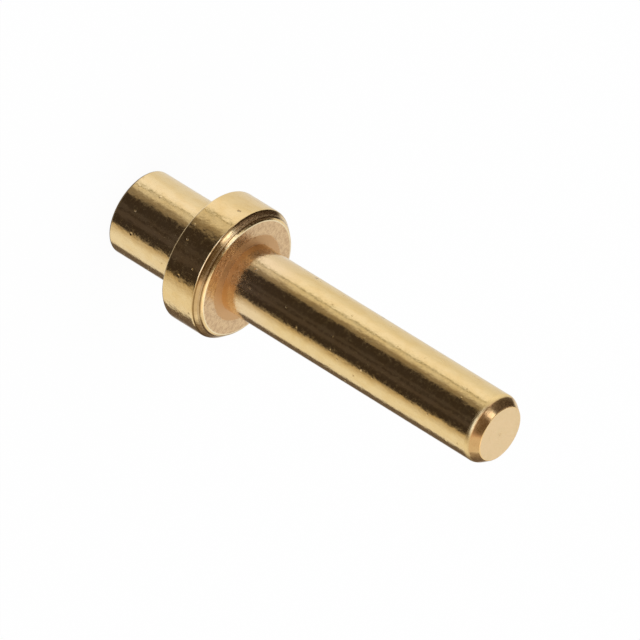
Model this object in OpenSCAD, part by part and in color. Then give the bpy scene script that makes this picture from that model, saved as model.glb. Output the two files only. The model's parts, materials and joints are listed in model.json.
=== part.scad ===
// Turned PC pin: a long contact pin, a seating collar and a short tail, cut from one bar and gold plated.
// The axis is Z, with the contact pin's tip at the top. Z = 0 is the collar's underside, which sits on the board.

/* [Contact pin] */
// Diameter of the contact pin
pin_d = 1.27; // [1.10:0.01:1.45]
// Length of the contact pin, from the collar's front face to the tip
pin_len = 5.72; // [3.00:0.01:12.00]
// How far the tip's bevel cuts in from the pin's side
tip_bevel_in = 0.13; // [0.05:0.01:0.30]
// How far the tip's bevel runs back along the pin
tip_bevel_back = 0.185; // [0.050:0.005:0.400]

/* [Collar] */
// Diameter of the collar
collar_d = 2.44; // [2.20:0.01:3.20]
// Thickness of the collar, from the board to its front face
collar_t = 0.83; // [0.50:0.01:1.60]
// How far the front bevel cuts in from the collar's rim
bevel_in = 0.105; // [0.050:0.005:0.150]
// How far the front bevel runs along the axis
bevel_back = 0.13; // [0.05:0.01:0.25]
// Width of the flatter lip between the front bevel and the face
lip_w = 0.04; // [0.01:0.01:0.08]
// How far the lip drops from the face to the bevel
lip_drop = 0.02; // [0.01:0.01:0.06]
// Radius round the edge of the collar's underside
rim_edge_r = 0.03; // [0.01:0.01:0.10]
// Width of the smooth ring in the front face, round the pin's root
root_ring_w = 0.175; // [0.100:0.005:0.200]
// How far that ring rises towards the pin
root_ring_rise = 0.01; // [0.002:0.002:0.040]

/* [Board tail] */
// Diameter of the tail that goes into the board
tail_d = 1.56; // [1.30:0.01:1.90]
// Length of the tail below the collar
tail_len = 1.63; // [1.00:0.01:3.50]
// Radius round the edge of the tail's end
tail_edge_r = 0.05; // [0.01:0.01:0.20]

/* [Hidden] */
$fn = 96;
gold = [0.93, 0.76, 0.46];

pin_r = pin_d / 2;
collar_r = collar_d / 2;
tail_r = tail_d / 2;
bevel_top_z = collar_t - lip_drop;
tip_z = collar_t + pin_len;

// What an edge radius takes off a square corner whose point is at radius r and height z, facing down
module edge_waste(r, z, edge_r) {
    translate([r - edge_r, z])
        difference() {
            square(edge_r);
            translate([0, edge_r])
                circle(edge_r);
        }
}

// Half of the lengthwise section, from the tail's end up to the tip
module half_section() {
    difference() {
        polygon([
            [0, -tail_len],
            [tail_r, -tail_len],
            [tail_r, 0],
            [collar_r, 0],
            [collar_r, bevel_top_z - bevel_back],
            [collar_r - bevel_in, bevel_top_z],
            [collar_r - bevel_in - lip_w, collar_t],
            [pin_r + root_ring_w, collar_t],
            [pin_r, collar_t + root_ring_rise],
            [pin_r, tip_z - tip_bevel_back],
            [pin_r - tip_bevel_in, tip_z],
            [0, tip_z],
        ]);
        edge_waste(tail_r, -tail_len, tail_edge_r);
        edge_waste(collar_r, 0, rim_edge_r);
    }
}

module pc_pin() {
    color(gold)
        rotate_extrude()
            half_section();
}

pc_pin();
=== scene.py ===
import json
import math

import bmesh
import bpy
from mathutils import Matrix, Vector


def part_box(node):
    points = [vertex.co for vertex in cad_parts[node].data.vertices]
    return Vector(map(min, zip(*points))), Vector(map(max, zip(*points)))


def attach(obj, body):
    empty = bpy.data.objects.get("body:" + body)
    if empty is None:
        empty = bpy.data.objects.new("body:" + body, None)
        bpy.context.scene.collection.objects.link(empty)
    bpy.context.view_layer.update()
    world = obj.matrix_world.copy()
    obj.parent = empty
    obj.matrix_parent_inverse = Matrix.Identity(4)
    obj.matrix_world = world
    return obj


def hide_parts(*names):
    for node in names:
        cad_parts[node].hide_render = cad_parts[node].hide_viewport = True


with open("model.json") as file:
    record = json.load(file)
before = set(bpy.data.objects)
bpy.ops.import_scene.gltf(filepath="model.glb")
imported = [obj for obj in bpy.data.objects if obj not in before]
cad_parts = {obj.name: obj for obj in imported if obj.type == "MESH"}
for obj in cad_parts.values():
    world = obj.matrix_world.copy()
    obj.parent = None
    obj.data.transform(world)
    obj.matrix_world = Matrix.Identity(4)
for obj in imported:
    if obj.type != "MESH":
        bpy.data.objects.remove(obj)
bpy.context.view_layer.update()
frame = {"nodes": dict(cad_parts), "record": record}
mm = 0.001
tiny = 1e-6  # mm, points closer than this are one point
scene = bpy.context.scene
scene.view_settings.view_transform = "Standard"
print("frame loaded:", sorted(frame["nodes"]))


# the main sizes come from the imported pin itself, in mm
def readPinSizes():
    mounts = {m["name"]: m for m in frame["record"]["mounts"]}
    low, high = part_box("pc_pin")
    pinR = mounts["contact_pin"]["dims"]["r_mm"]
    collarFrom = 1.4 * pinR * mm  # past the ring round the pin's root
    collarPoints = [v.co for v in frame["nodes"]["pc_pin"].data.vertices if v.co.xy.length > collarFrom]
    return {
        "pinR": pinR,
        "tailR": mounts["board_tail"]["dims"]["r_mm"],
        "collarR": high.x / mm,
        "tailZ": low.z / mm,
        "faceZ": max(co.z for co in collarPoints) / mm,
        "tipZ": high.z / mm,
    }


sizes = readPinSizes()
print("pin sizes in mm:", {name: round(value, 3) for name, value in sizes.items()})

# camera: the photo's view, a long lens rolled so that the pin runs down to the right
cameraSet = {
    "elevation": 29.87,        # degrees above the collar's plane
    "roll": 121.705,           # degrees, turns the upright pin to the photo's slant
    "distance": 268.7,         # mm from the aim point
    "lens": 900.0,             # mm
    "sensor": 36.0,            # mm
    "aimRight": 1.2252,        # mm from the collar's face to the aim point, across the picture
    "aimUp": -0.7121,          # and up it
    "reach": (5.0, 2000.0),    # mm, nearest and farthest that it sees
}


def makeCamera(c):
    elevation = math.radians(c["elevation"])
    roll = math.radians(c["roll"])
    back = Vector((0.0, -math.cos(elevation), math.sin(elevation)))
    level = Vector((1.0, 0.0, 0.0))
    rise = back.cross(level)
    right = math.cos(roll) * level + math.sin(roll) * rise
    up = math.cos(roll) * rise - math.sin(roll) * level
    aim = Vector((0.0, 0.0, sizes["faceZ"])) + right * c["aimRight"] + up * c["aimUp"]
    place = (aim + back * c["distance"]) * mm
    data = bpy.data.cameras.new("photoCamera")
    data.sensor_width = c["sensor"]
    data.lens = c["lens"]
    data.clip_start, data.clip_end = (end * mm for end in c["reach"])
    camera = bpy.data.objects.new("photoCamera", data)
    scene.collection.objects.link(camera)
    camera.matrix_world = Matrix.Translation(place) @ Matrix((right, up, back)).transposed().to_4x4()
    scene.camera = camera


makeCamera(cameraSet)
print("camera set")


# small helpers for node trees
def rgba(colour):
    return (*colour, 1.0)


def addNode(tree, kind, **values):
    node = tree.nodes.new(kind)
    for name, value in values.items():
        setattr(node, name, value)
    return node


def feed(tree, socket, source):
    if isinstance(source, bpy.types.NodeSocket):
        tree.links.new(source, socket)
    else:
        socket.default_value = source


def mathNode(tree, operation, *inputs):
    node = addNode(tree, "ShaderNodeMath", operation=operation)
    for socket, source in zip(node.inputs, inputs):
        feed(tree, socket, source)
    return node.outputs[0]


def vectorNode(tree, operation, *inputs):
    node = addNode(tree, "ShaderNodeVectorMath", operation=operation)
    for socket, source in zip(node.inputs, inputs):
        feed(tree, socket, source)
    return node.outputs["Value" if operation in ("LENGTH", "DISTANCE") else "Vector"]


def axisOf(tree, vector, axis):
    node = addNode(tree, "ShaderNodeSeparateXYZ")
    feed(tree, node.inputs[0], vector)
    return node.outputs[axis]


def ramp(tree, value, start, end, low=0.0, high=1.0):
    node = addNode(tree, "ShaderNodeMapRange", interpolation_type="SMOOTHSTEP", clamp=True)
    for socket, source in zip(node.inputs, (value, start, end, low, high)):
        feed(tree, socket, source)
    return node.outputs[0]


def mixColour(tree, share, first, second):
    node = addNode(tree, "ShaderNodeMix", data_type="RGBA")
    feed(tree, node.inputs["Factor"], share)
    feed(tree, node.inputs[6], first)  # sockets 6 and 7 are this node's two colours
    feed(tree, node.inputs[7], second)
    return node.outputs[2]


def noise(tree, vector, size, detail):
    node = addNode(tree, "ShaderNodeTexNoise")
    feed(tree, node.inputs["Vector"], vector)
    node.inputs["Scale"].default_value = 1 / size
    node.inputs["Detail"].default_value = detail
    return node.outputs["Fac"]


# gold finishes, lengths and bump heights in mm: waves blend colour and tone, grain spreads the roughness
goldFinishes = {
    "pinSide": {
        "colour": (0.92, 0.69, 0.335), "tone": (0.885, 0.64, 0.285), "roughness": 0.13, "spread": 0.05,
        "waveSize": 0.15, "waveHeight": 0.005, "waveStretch": 0.6, "grainSize": 0.04, "grainHeight": 0.0008,
        "specks": 0.8, "haze": 0.09, "scuff": (1.07, 1.13, 1.6), "scuffRough": 0.1,
        "paleColour": (0.91, 0.69, 0.41), "paleEnd": (1.25, 2.3),
    },
    "tailSide": {
        "colour": (0.93, 0.71, 0.375), "tone": (0.9, 0.66, 0.32), "roughness": 0.13, "spread": 0.05,
        "waveSize": 0.15, "waveHeight": 0.006, "waveStretch": 0.6, "grainSize": 0.04, "grainHeight": 0.0008,
        "specks": 0.8, "haze": 0.09, "scuff": (0.0, -0.1, -0.6), "scuffRough": 0.1,
    },
    "rim": {
        "colour": (0.925, 0.685, 0.335), "tone": (0.885, 0.63, 0.28), "roughness": 0.14, "spread": 0.05,
        "waveSize": 0.17, "waveHeight": 0.008, "waveStretch": 0.8, "grainSize": 0.04, "grainHeight": 0.001,
        "specks": 0.9, "haze": 0.09,
    },
    "bevel": {
        "colour": (0.92, 0.67, 0.32), "tone": (0.86, 0.6, 0.28), "roughness": 0.16, "spread": 0.05,
        "waveSize": 0.12, "waveHeight": 0.002, "grainSize": 0.03, "grainHeight": 0.0003,
        "ringHeight": 0.0006, "specks": 0.4,
    },
    # the next two are darker copies of the bevel's gold: painted shade for the dark bands that the bevel
    # mirrors
    "bevelShade": {
        "colour": (0.5, 0.325, 0.125), "tone": (0.42, 0.265, 0.09), "roughness": 0.2, "spread": 0.05,
        "waveSize": 0.12, "waveHeight": 0.002, "grainSize": 0.03, "grainHeight": 0.0003,
        "ringHeight": 0.0004,
    },
    "bevelCut": {
        "colour": (0.42, 0.255, 0.085), "tone": (0.34, 0.2, 0.06), "roughness": 0.18, "spread": 0.05,
        "waveSize": 0.12, "waveHeight": 0.002, "grainSize": 0.03, "grainHeight": 0.0003,
        "ringHeight": 0.0004,
    },
    "bevelStreak": {
        "colour": (0.84, 0.62, 0.32), "tone": (0.76, 0.54, 0.26), "roughness": 0.3, "spread": 0.06,
        "waveSize": 0.12, "waveHeight": 0.002, "grainSize": 0.03, "grainHeight": 0.0005,
        "ringHeight": 0.0006,
    },
    # paler copy of the gold for the collar's rear edge and the lip's round edge: painted highlight for their
    # thin bright lines
    "edge": {
        "colour": (0.95, 0.77, 0.47), "tone": (0.93, 0.73, 0.42), "roughness": 0.16, "spread": 0.04,
        "waveSize": 0.12, "waveHeight": 0.001, "grainSize": 0.03, "grainHeight": 0.0002,
    },
    # darker copy of the gold for the tail end's round edge: painted shade for its dark line
    "cutEdge": {
        "colour": (0.3, 0.21, 0.12), "tone": (0.22, 0.15, 0.08), "roughness": 0.25, "spread": 0.06,
        "waveSize": 0.12, "waveHeight": 0.002, "grainSize": 0.03, "grainHeight": 0.0004,
    },
    "face": {
        "colour": (0.785, 0.535, 0.28), "tone": (0.605, 0.39, 0.2), "roughness": 0.3, "spread": 0.06,
        "waveSize": 0.07, "waveHeight": 0.003, "grainSize": 0.025, "grainHeight": 0.002,
        # the inner colour darkens the ring round the pin's root: painted shade
        "specks": 0.6, "innerColour": (0.715, 0.445, 0.21), "innerRoughness": 0.55,
    },
    "tipBevel": {
        "colour": (0.95, 0.65, 0.29), "tone": (0.9, 0.59, 0.26), "roughness": 0.215, "spread": 0.02,
        "waveSize": 0.15, "waveHeight": 0.002, "grainSize": 0.05, "grainHeight": 0.0002,
        "ringHeight": 0.0004,
    },
    # brighter copy of the pin's gold for the round edge behind the tip's bevel: painted highlight for its
    # pale strip
    "tipEdge": {
        "colour": (0.97, 0.72, 0.33), "tone": (0.92, 0.67, 0.3), "roughness": 0.33, "spread": 0.02,
        "waveSize": 0.15, "waveHeight": 0.002, "grainSize": 0.05, "grainHeight": 0.0002,
    },
    "tipFace": {
        "colour": (0.9, 0.655, 0.355), "tone": (0.87, 0.64, 0.34), "roughness": 0.38, "spread": 0.07,
        "waveSize": 0.25, "waveHeight": 0.002, "grainSize": 0.03, "grainHeight": 0.0007,
        "specks": 0.2,
    },
}

# what the finishes share: ranges are of a noise from 0 to 1, lengths in mm
surfaceSet = {
    "waveDetail": 2.0,
    "toneRange": (0.35, 0.7),      # waves, from colour to tone
    "grainDetail": 3.0,
    "grainRange": (0.3, 0.7),      # grain, from smooth to rough
    "hazeSize": 0.06,              # size of the hazy patches
    "hazeDetail": 1.0,
    "hazeRange": (0.42, 0.72),
    "scuffSize": 0.07,             # size of the rubbed patches
    "scuffDetail": 2.0,
    "scuffRange": (0.36, 0.68),
    "paleLeast": 0.2,              # share of the usual colour where the plating is palest
    "innerRagged": 0.05,           # how far the waves shift the border of the face's inner ring
    "innerBorder": (0.01, 0.04),   # where that border starts and ends
    "innerBump": 0.2,              # share of the bumps inside it
    "ringSize": 0.03,              # width of one turning mark
    "ringDetail": 2.0,
    "speckCell": 0.22,             # spacing of the dust-sized specks
    "speckSize": 0.032,
    "speckHeight": 0.0042,
    "speckRough": 0.4,             # roughness that a speck adds
    "dirt": (0.5, 0.32, 0.14),     # darker colour at the bottom of a nick, fading out to its edge
    "nicks": [                     # finish, degrees from the camera's side, height, size, depth
        ("rim", -46.0, 0.495, 0.034, 0.01),
        ("rim", -46.4, 0.53, 0.03, 0.008),
        ("rim", 28.0, 0.3, 0.03, 0.004),
        ("rim", -0.8, 0.17, 0.032, 0.007),
        ("rim", 17.6, 0.52, 0.026, 0.006),
        ("pinSide", -72.0, 2.1, 0.055, 0.008),
        ("pinSide", -80.0, 3.54, 0.045, 0.006),
        ("pinSide", 7.6, 3.19, 0.03, 0.006),
        ("pinSide", 7.6, 2.14, 0.024, 0.005),
        ("tailSide", 31.0, -1.15, 0.035, 0.004),
    ],
}
nickRadius = {"rim": sizes["collarR"], "pinSide": sizes["pinR"], "tailSide": sizes["tailR"]}


def addRings(tree, f, s, place, bumps):
    rings = addNode(tree, "ShaderNodeTexNoise", noise_dimensions="1D")
    feed(tree, rings.inputs["W"], axisOf(tree, place, "Z"))
    rings.inputs["Scale"].default_value = 1 / s["ringSize"]
    rings.inputs["Detail"].default_value = s["ringDetail"]
    bumps.append((rings.outputs["Fac"], f["ringHeight"]))


# one speck in each cell of a loose grid, in as many of the cells as the finish says
def addSpecks(tree, f, s, place, bumps, roughness):
    cells = addNode(tree, "ShaderNodeTexVoronoi")
    feed(tree, cells.inputs["Vector"], place)
    cells.inputs["Scale"].default_value = 1 / s["speckCell"]
    spot = ramp(tree, cells.outputs["Distance"], 0.0, s["speckSize"] / s["speckCell"], 1.0, 0.0)
    chance = addNode(tree, "ShaderNodeSeparateColor")
    feed(tree, chance.inputs[0], cells.outputs["Color"])
    speck = mathNode(tree, "MULTIPLY", spot, mathNode(tree, "LESS_THAN", chance.outputs[0], f["specks"]))
    bumps.append((speck, s["speckHeight"]))
    return mathNode(tree, "MULTIPLY_ADD", speck, s["speckRough"], roughness)


def addNicks(tree, finish, s, place, bumps, colour):
    for nickFinish, turn, z, size, depth in s["nicks"]:
        if nickFinish == finish:
            r = nickRadius[finish]
            spot = (r * math.sin(math.radians(turn)), -r * math.cos(math.radians(turn)), z)
            rise = ramp(tree, vectorNode(tree, "DISTANCE", place, spot), 0.0, size)
            bumps.append((rise, depth))
            colour = mixColour(tree, rise, rgba(s["dirt"]), colour)
    return colour


def joinBumps(tree, bumps):
    normal = None
    for height, size in bumps:
        bump = addNode(tree, "ShaderNodeBump")
        feed(tree, bump.inputs["Height"], height)
        bump.inputs["Distance"].default_value = size * mm
        if normal:
            feed(tree, bump.inputs["Normal"], normal)
        normal = bump.outputs["Normal"]
    return normal


def makeGold(finish, f, s):
    material = bpy.data.materials.new("gold_" + finish)
    material.use_nodes = True
    tree = material.node_tree
    shader = tree.nodes["Principled BSDF"]
    shader.inputs["Metallic"].default_value = 1.0
    place = vectorNode(tree, "SCALE", addNode(tree, "ShaderNodeTexCoord").outputs["Object"])
    place.node.inputs["Scale"].default_value = 1 / mm
    stretched = vectorNode(tree, "MULTIPLY", place, (1.0, 1.0, f.get("waveStretch", 1.0)))
    wave = noise(tree, stretched, f["waveSize"], s["waveDetail"])
    grain = noise(tree, place, f["grainSize"], s["grainDetail"])
    colour = mixColour(tree, ramp(tree, wave, *s["toneRange"]), rgba(f["colour"]), rgba(f["tone"]))
    smooth = f["roughness"] - f["spread"]
    rough = f["roughness"] + f["spread"]
    roughness = ramp(tree, grain, *s["grainRange"], smooth, rough)
    bumps = [(wave, f["waveHeight"]), (grain, f["grainHeight"])]
    if "haze" in f:  # patches of fine pits that scatter a little light
        pits = ramp(tree, noise(tree, place, s["hazeSize"], s["hazeDetail"]), *s["hazeRange"])
        roughness = mathNode(tree, "MULTIPLY_ADD", pits, f["haze"], roughness)
    if "scuff" in f:  # rubbed next to the collar: heights where it starts, is strongest and ends
        start, strongest, end = f["scuff"]
        height = axisOf(tree, place, "Z")
        rub = ramp(tree, noise(tree, place, s["scuffSize"], s["scuffDetail"]), *s["scuffRange"])
        rub = mathNode(tree, "MULTIPLY", rub, ramp(tree, height, start, strongest))
        rub = mathNode(tree, "MULTIPLY", rub, ramp(tree, height, strongest, end, 1.0, 0.0))
        roughness = mathNode(tree, "MULTIPLY_ADD", rub, f["scuffRough"], roughness)
    if "paleEnd" in f:  # paler, less saturated colour next to the collar, gone at the second height
        usual = ramp(tree, axisOf(tree, place, "Z"), *f["paleEnd"], s["paleLeast"], 1.0)
        colour = mixColour(tree, usual, rgba(f["paleColour"]), colour)
    if "innerColour" in f:  # smooth ring round the pin, painted darker as shade round its root, with a slightly ragged border
        inner = sizes["pinR"] + pinSet["rootRingWidth"]
        borderStart, borderEnd = s["innerBorder"]
        reach = vectorNode(tree, "LENGTH", vectorNode(tree, "MULTIPLY", place, (1.0, 1.0, 0.0)))
        reach = mathNode(tree, "MULTIPLY_ADD", wave, s["innerRagged"], reach)
        outside = ramp(tree, reach, inner + borderStart, inner + borderEnd)
        colour = mixColour(tree, outside, rgba(f["innerColour"]), colour)
        roughness = ramp(tree, outside, 0.0, 1.0, f["innerRoughness"], roughness)
        share = ramp(tree, outside, 0.0, 1.0, s["innerBump"], 1.0)
        bumps = [(mathNode(tree, "MULTIPLY", height, share), size) for height, size in bumps]
    if "ringHeight" in f:
        addRings(tree, f, s, place, bumps)
    if "specks" in f:
        roughness = addSpecks(tree, f, s, place, bumps, roughness)
    colour = addNicks(tree, finish, s, place, bumps, colour)
    feed(tree, shader.inputs["Base Color"], colour)
    feed(tree, shader.inputs["Roughness"], roughness)
    feed(tree, shader.inputs["Normal"], joinBumps(tree, bumps))
    return material


# the turned pin: small sizes in mm, the rest is read from the frame
pinSet = {
    "segments": 288,           # steps round the axis
    "maxStep": 0.12,           # longest step along the outline
    "arcSteps": 7,             # steps round each edge radius
    "tailEdge": 0.05,          # edge radii, from the tail's end to the tip
    "underEdge": 0.008,        # between the tail and the collar's underside
    "rimEdge": 0.035,
    "bevelEdge": 0.07,
    "bandEdge": 0.008,         # between the bevel's bands
    "lipBackEdge": 0.006,
    "lipEdge": 0.06,
    "rootRingEdge": 0.008,
    "rootEdge": 0.002,
    "tipBackEdge": 0.18,
    "tipCrownEdge": 1.5,
    "tipFrontEdge": 0.03,
    "pipEdge": 0.008,
    "bevelIn": 0.105,
    "bevelBack": 0.13,
    "bevelBands": [            # share of the way up the bevel, depth of the tool mark there, finish above it
        (0.27, -0.0022, "bevel"),
        (0.6, 0.0003, "bevelStreak"),
        (0.8, 0.0, "bevelCut"),
        (0.84, 0.0005, "bevelCut"),
        (0.89, 0.0, "bevel"),
    ],
    "lipWidth": 0.04,
    "lipDrop": 0.02,
    "rootRingWidth": 0.175,
    "rootRingRise": 0.01,
    "tipBevelIn": 0.13,
    "tipBevelBack": 0.185,
    "tipCrown": 0.004,         # how far the tip's bevel bulges in its middle
    "pipRadius": 0.045,        # centre mark in the tip
    "pipDeep": 0.012,
}


# corners of the half section, from the tail's end to the tip:
# radius, height, edge radius, finish of the edge, finish of the next side
def pinCorners(p, s):
    bevelTop = s["faceZ"] - p["lipDrop"]
    bevelLength = math.hypot(p["bevelIn"], p["bevelBack"])

    def onBevel(share, deep=0.0):
        r = s["collarR"] - p["bevelIn"] * share - p["bevelBack"] / bevelLength * deep
        z = bevelTop - p["bevelBack"] * (1 - share) - p["bevelIn"] / bevelLength * deep
        return r, z

    bands = [(*onBevel(share, deep), p["bandEdge"], finish, finish)
             for share, deep, finish in p["bevelBands"]]
    tipLength = math.hypot(p["tipBevelIn"], p["tipBevelBack"])
    crownR = s["pinR"] - p["tipBevelIn"] / 2 + p["tipBevelBack"] / tipLength * p["tipCrown"]
    crownZ = s["tipZ"] - p["tipBevelBack"] / 2 + p["tipBevelIn"] / tipLength * p["tipCrown"]
    return [
        (0.0, s["tailZ"], 0.0, "", "tipFace"),
        (s["tailR"], s["tailZ"], p["tailEdge"], "cutEdge", "tailSide"),
        (s["tailR"], 0.0, p["underEdge"], "tailSide", "rim"),
        (s["collarR"], 0.0, p["rimEdge"], "edge", "rim"),
        (*onBevel(0.0), p["bevelEdge"], "rim", "bevelShade"),
        *bands,
        (*onBevel(1.0), p["lipBackEdge"], "bevel", "bevel"),
        (s["collarR"] - p["bevelIn"] - p["lipWidth"], s["faceZ"], p["lipEdge"], "edge", "face"),
        (s["pinR"] + p["rootRingWidth"], s["faceZ"], p["rootRingEdge"], "face", "face"),
        (s["pinR"], s["faceZ"] + p["rootRingRise"], p["rootEdge"], "face", "pinSide"),
        (s["pinR"], s["tipZ"] - p["tipBevelBack"], p["tipBackEdge"], "tipEdge", "tipBevel"),
        (crownR, crownZ, p["tipCrownEdge"], "tipBevel", "tipBevel"),
        (s["pinR"] - p["tipBevelIn"], s["tipZ"], p["tipFrontEdge"], "tipBevel", "tipFace"),
        (p["pipRadius"], s["tipZ"], p["pipEdge"], "tipFace", "tipFace"),
        (0.0, s["tipZ"] - p["pipDeep"], 0.0, "", ""),
    ]


# outline samples (radius, height, normal, finish): straight runs in short steps, with arcs at the corners
def roundedOutline(corners, p):
    samples = []

    def addRun(start, end, heading, finish):
        steps = max(1, math.ceil(math.dist(start, end) / p["maxStep"]))
        for i in range(steps + 1):
            spot = [a + (b - a) * i / steps for a, b in zip(start, end)]
            if not samples or math.dist(spot, samples[-1][:2]) > tiny:
                samples.append((*spot, math.sin(heading), -math.cos(heading), finish))

    headings = [math.atan2(b[1] - a[1], b[0] - a[0]) for a, b in zip(corners[:-1], corners[1:])]
    leave = corners[0][:2]
    for i in range(1, len(corners) - 1):
        r, z, radius, finish = corners[i][:4]
        came, goes = headings[i - 1], headings[i]
        turn = math.remainder(goes - came, math.tau)
        run = radius * math.tan(abs(turn) / 2)
        bulge = math.copysign(radius, turn)
        arcStart = (r - run * math.cos(came), z - run * math.sin(came))
        centre = (arcStart[0] - bulge * math.sin(came), arcStart[1] + bulge * math.cos(came))
        addRun(leave, arcStart, came, corners[i - 1][4])
        for k in range(1, p["arcSteps"]):
            heading = came + turn * k / p["arcSteps"]
            normal = (math.sin(heading), -math.cos(heading))
            samples.append((centre[0] + bulge * normal[0], centre[1] + bulge * normal[1], *normal, finish))
        leave = (r + run * math.cos(goes), z + run * math.sin(goes))
    addRun(leave, corners[-1][:2], headings[-1], corners[-2][4])
    return samples


def turnOutline(name, samples, segments, finishes):
    turns = [math.tau * k / segments for k in range(segments)]
    shape = bmesh.new()
    rings = []
    for sample in samples:
        r, z = sample[:2]
        if r < tiny:
            points = [(0.0, 0.0, z * mm)]
        else:
            points = [(r * math.cos(a) * mm, r * math.sin(a) * mm, z * mm) for a in turns]
        rings.append([shape.verts.new(point) for point in points])
    for sample, lower, upper in zip(samples[1:], rings[:-1], rings[1:]):
        for k in range(segments):
            n = (k + 1) % segments
            if len(lower) == 1:
                face = shape.faces.new((lower[0], upper[n], upper[k]))
            elif len(upper) == 1:
                face = shape.faces.new((lower[k], lower[n], upper[0]))
            else:
                face = shape.faces.new((lower[k], lower[n], upper[n], upper[k]))
            face.smooth = True
            face.material_index = finishes.index(sample[4])
    mesh = bpy.data.meshes.new(name)
    shape.to_mesh(mesh)
    shape.free()
    # each ring's normal is the outline's own, so long faces shade flat and edges shade round
    normals = []
    for sample, ring in zip(samples, rings):
        normalR, normalZ = sample[2:4]
        normals += [(normalR * math.cos(a), normalR * math.sin(a), normalZ) for a in turns[:len(ring)]]
    mesh.normals_split_custom_set_from_vertices(normals)
    piece = bpy.data.objects.new(name, mesh)
    scene.collection.objects.link(piece)
    return piece


def makePin():
    outline = roundedOutline(pinCorners(pinSet, sizes), pinSet)
    finishes = list(goldFinishes)
    pin = turnOutline("turned_pin", outline, pinSet["segments"], finishes)
    for finish in finishes:
        pin.data.materials.append(makeGold(finish, goldFinishes[finish], surfaceSet))
    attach(pin, "root")
    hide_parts("pc_pin")
    print("pin turned:", len(outline), "rings,", len(pin.data.polygons), "faces")


makePin()

floorSet = {
    "size": 400.0,             # mm
    "gap": 0.005,              # mm below the tail's end
    "colour": (0.9, 0.9, 0.9),
    "glow": 0.95,              # share of plain white that the camera sees, the rest is lit and shadowed
}


def makeFloor(f):
    half = f["size"] * mm / 2
    z = (sizes["tailZ"] - f["gap"]) * mm
    corners = [(-half, -half, z), (half, -half, z), (half, half, z), (-half, half, z)]
    mesh = bpy.data.meshes.new("floor")
    mesh.from_pydata(corners, [], [(0, 1, 2, 3)])
    floor = bpy.data.objects.new("floor", mesh)
    scene.collection.objects.link(floor)
    floor.visible_glossy = False       # polished metal sees the studio wrap instead
    material = bpy.data.materials.new("floorPaper")
    material.use_nodes = True
    tree = material.node_tree
    paper = tree.nodes["Principled BSDF"]
    paper.inputs["Base Color"].default_value = rgba(f["colour"])
    paper.inputs["Roughness"].default_value = 1.0
    paper.inputs["Specular IOR Level"].default_value = 0.0
    white = addNode(tree, "ShaderNodeEmission")
    lightPath = addNode(tree, "ShaderNodeLightPath")
    blend = addNode(tree, "ShaderNodeMixShader")
    feed(tree, blend.inputs[0], mathNode(tree, "MULTIPLY", lightPath.outputs["Is Camera Ray"], f["glow"]))
    feed(tree, blend.inputs[1], paper.outputs[0])
    feed(tree, blend.inputs[2], white.outputs[0])
    feed(tree, tree.nodes["Material Output"].inputs["Surface"], blend.outputs[0])
    floor.data.materials.append(material)


makeFloor(floorSet)

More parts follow.
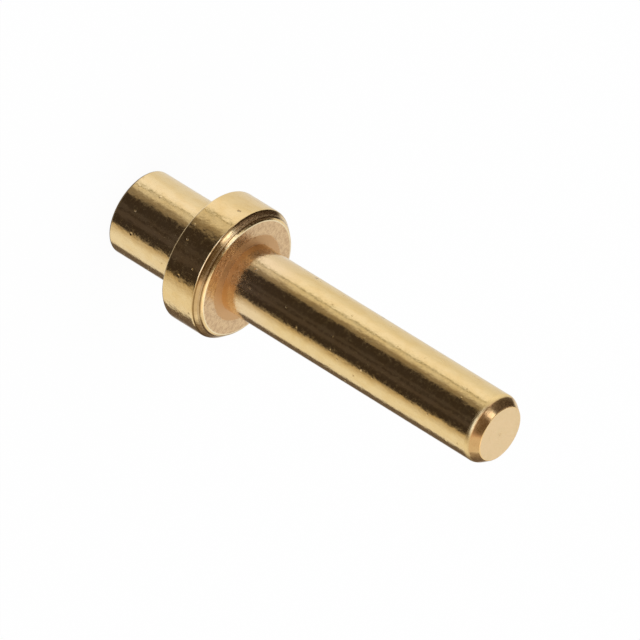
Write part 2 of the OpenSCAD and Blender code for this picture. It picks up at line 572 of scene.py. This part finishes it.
# studio wrap that polished metal mirrors: white, with fields that each cover part of those before them
# degrees: turn from the camera's side towards +X, height above the floor's plane
lowFront = {"height": (-95, 7), "heightSoft": (1, 10)}
thinFront = {"height": (3, 20), "heightSoft": (6, 8)}
lowBack = {"height": (16, 44), "heightSoft": (12, 12)}
studioSet = {
    "open": (1.0, 1.0, 1.0),       # what the camera and the floor see instead
    "white": (0.86, 0.86, 0.86),
    "fields": {
        # for the upright sides, which seen from above mirror what is below the floor's plane
        "upperSide": {"turn": (-185, -106), "turnSoft": (1, 24), "height": (-70, 0), "heightSoft": (20, 20),
                      "tone": (0.79, 0.785, 0.77)},
        "softbox": {"turn": (-92, -66), "turnSoft": (20, 6), "height": (-70, 0), "heightSoft": (20, 20),
                    "tone": (0.98, 0.98, 1.04)},
        "halfShade": {"turn": (-60, 62), "turnSoft": (4, 4), **lowFront, "tone": (0.72, 0.685, 0.62)},
        "lowWall": {"turn": (60, 74), "turnSoft": (6, 38), **lowFront, "tone": (0.47, 0.37, 0.23)},
        "nearShade": {"turn": (-43.5, 60.5), "turnSoft": (12, 7), **lowFront, "tone": (0.26, 0.22, 0.172)},
        "lensSide": {"turn": (-26.5, 60.5), "turnSoft": (7, 7), **lowFront, "tone": (0.04, 0.031, 0.028)},
        "streak": {"turn": (6, 14), "turnSoft": (5, 5), **lowFront, "tone": (0.068, 0.056, 0.056)},
        "wideStreak": {"turn": (21, 34), "turnSoft": (6, 8), **lowFront, "tone": (0.074, 0.06, 0.06)},
        "boxEdge": {"turn": (-62.5, -57.5), "turnSoft": (2, 3), "height": (-70, 0), "heightSoft": (10, 10),
                    "tone": (0.38, 0.36, 0.3)},
        "underShade": {"turn": (124, 168), "turnSoft": (8, 24), "height": (-70, 8), "heightSoft": (14, 14),
                       "tone": (0.14, 0.11, 0.09)},
        "tableGlow": {"turn": (-80, 90), "turnSoft": (10, 10), "height": (-86, -46), "heightSoft": (6, 10),
                      "tone": (0.23, 0.21, 0.19)},
        # for the round edges between the sides and the bevels
        "frontGlow": {"turn": (-43, 43), "turnSoft": (10, 12), **thinFront, "tone": (1.5, 1.7, 2.4)},
        "glowGap": {"turn": (-17, -3), "turnSoft": (5, 5), **thinFront, "tone": (0.5, 0.5, 0.55)},
        "underTop": {"turn": (111, 150), "turnSoft": (6, 20), "height": (5, 17), "heightSoft": (6, 6),
                     "tone": (0.2, 0.15, 0.115)},
        # for the bevels, the lip and the flat faces
        "sideWall": {"turn": (-142, -58), "turnSoft": (14, 4), "height": (14, 52), "heightSoft": (16, 14),
                     "tone": (0.8, 0.68, 0.74)},
        "backLeft": {"turn": (-190, -162), "turnSoft": (1, 10), **lowBack, "tone": (0.84, 0.87, 0.93)},
        "backRight": {"turn": (162, 190), "turnSoft": (10, 1), **lowBack, "tone": (0.86, 0.89, 0.945)},
        "roomGap": {"turn": (-150, -56), "turnSoft": (10, 6), "height": (8, 31.5), "heightSoft": (8, 5),
                    "tilt": 0.42, "tone": (0.042, 0.028, 0.022)},
        "lowBoard": {"turn": (58, 108), "turnSoft": (20, 10), "height": (2, 58), "heightSoft": (14, 12),
                     "tone": (0.66, 0.6, 0.55)},
        "frontWall": {"turn": (-52, 60), "turnSoft": (8, 20), "height": (20, 50), "heightSoft": (14, 10),
                      "tone": (0.7, 0.5, 0.42)},
        "lampGuard": {"turn": (-56, -28), "turnSoft": (8, 10), "height": (8, 37), "heightSoft": (10, 4),
                      "tone": (0.15, 0.1, 0.085)},
        "frontBoard": {"turn": (-31, 50), "turnSoft": (4, 24), "height": (30, 78), "heightSoft": (6, 10),
                       "tone": (0.106, 0.069, 0.04)},
        "overhead": {"turn": (-185, 185), "turnSoft": (1, 1), "height": (77, 95), "heightSoft": (10, 1),
                     "tone": (0.115, 0.075, 0.045)},
        "topWindow": {"turn": (-138, -116), "turnSoft": (5, 5), "height": (66, 77), "heightSoft": (5, 6),
                      "tone": (1.4, 1.7, 2.3)},
        "sideWindow": {"turn": (96, 150), "turnSoft": (10, 10), "height": (46, 71), "heightSoft": (8, 10),
                       "tone": (1.34, 1.25, 1.26)},
        "lipGap": {"turn": (-84, -46), "turnSoft": (6, 8), "height": (52, 72), "heightSoft": (5, 5),
                   "tone": (0.2, 0.14, 0.09)},
        "lipShade": {"turn": (-149, -80), "turnSoft": (8, 8), "height": (36, 63), "heightSoft": (5, 6),
                     "tilt": 0.3, "tone": (0.036, 0.021, 0.008)},
    },
}


def makeStudio(s):
    world = bpy.data.worlds.new("studio")
    scene.world = world
    world.use_nodes = True
    tree = world.node_tree
    tree.nodes.clear()
    direction = addNode(tree, "ShaderNodeTexCoord").outputs["Generated"]
    towards = mathNode(tree, "MULTIPLY", axisOf(tree, direction, "Y"), -1.0)
    turn = mathNode(tree, "DEGREES", mathNode(tree, "ARCTAN2", axisOf(tree, direction, "X"), towards))
    height = mathNode(tree, "DEGREES", mathNode(tree, "ARCSINE", axisOf(tree, direction, "Z")))

    def window(value, span, soft):
        rising = ramp(tree, value, span[0] - soft[0] / 2, span[0] + soft[0] / 2)
        falling = ramp(tree, value, span[1] - soft[1] / 2, span[1] + soft[1] / 2, 1.0, 0.0)
        return mathNode(tree, "MULTIPLY", rising, falling)

    colour = rgba(s["white"])
    for name, field in s["fields"].items():
        level = height
        if "tilt" in field:  # degrees of rise for each degree of turn, about the middle of the field
            fromMiddle = mathNode(tree, "SUBTRACT", turn, sum(field["turn"]) / 2)
            level = mathNode(tree, "MULTIPLY_ADD", fromMiddle, -field["tilt"], height)
        share = mathNode(tree, "MULTIPLY", window(turn, field["turn"], field["turnSoft"]),
                         window(level, field["height"], field["heightSoft"]))
        colour = mixColour(tree, share, colour, rgba(field["tone"]))
        colour.node.label = name
    plain = addNode(tree, "ShaderNodeBackground")
    plain.inputs["Color"].default_value = rgba(s["open"])
    wrap = addNode(tree, "ShaderNodeBackground")
    feed(tree, wrap.inputs["Color"], colour)
    blend = addNode(tree, "ShaderNodeMixShader")
    feed(tree, blend.inputs[0], addNode(tree, "ShaderNodeLightPath").outputs["Is Glossy Ray"])
    feed(tree, blend.inputs[1], plain.outputs[0])
    feed(tree, blend.inputs[2], wrap.outputs[0])
    feed(tree, addNode(tree, "ShaderNodeOutputWorld").inputs["Surface"], blend.outputs[0])


makeStudio(studioSet)

lampSet = {
    "turn": -46.0,             # degrees, as for the studio's fields
    "height": 43.5,
    "distance": 200.0,         # mm
    "wide": 68.0,              # mm
    "high": 46.0,
    "watts": 0.0116,
    "colour": (0.9, 1.02, 1.3),
}


def makeLamp(lamp):
    turn = math.radians(lamp["turn"])
    height = math.radians(lamp["height"])
    away = Vector((math.sin(turn) * math.cos(height), -math.cos(turn) * math.cos(height), math.sin(height)))
    data = bpy.data.lights.new("keyLamp", "AREA")
    data.shape = "RECTANGLE"
    data.size = lamp["wide"] * mm
    data.size_y = lamp["high"] * mm
    data.color = lamp["colour"]
    data.energy = lamp["watts"]
    key = bpy.data.objects.new("keyLamp", data)
    scene.collection.objects.link(key)
    key.location = away * lamp["distance"] * mm
    key.rotation_euler = away.to_track_quat("Z", "Y").to_euler()


makeLamp(lampSet)
print("floor, studio and lamp made")

print("pin dressed")
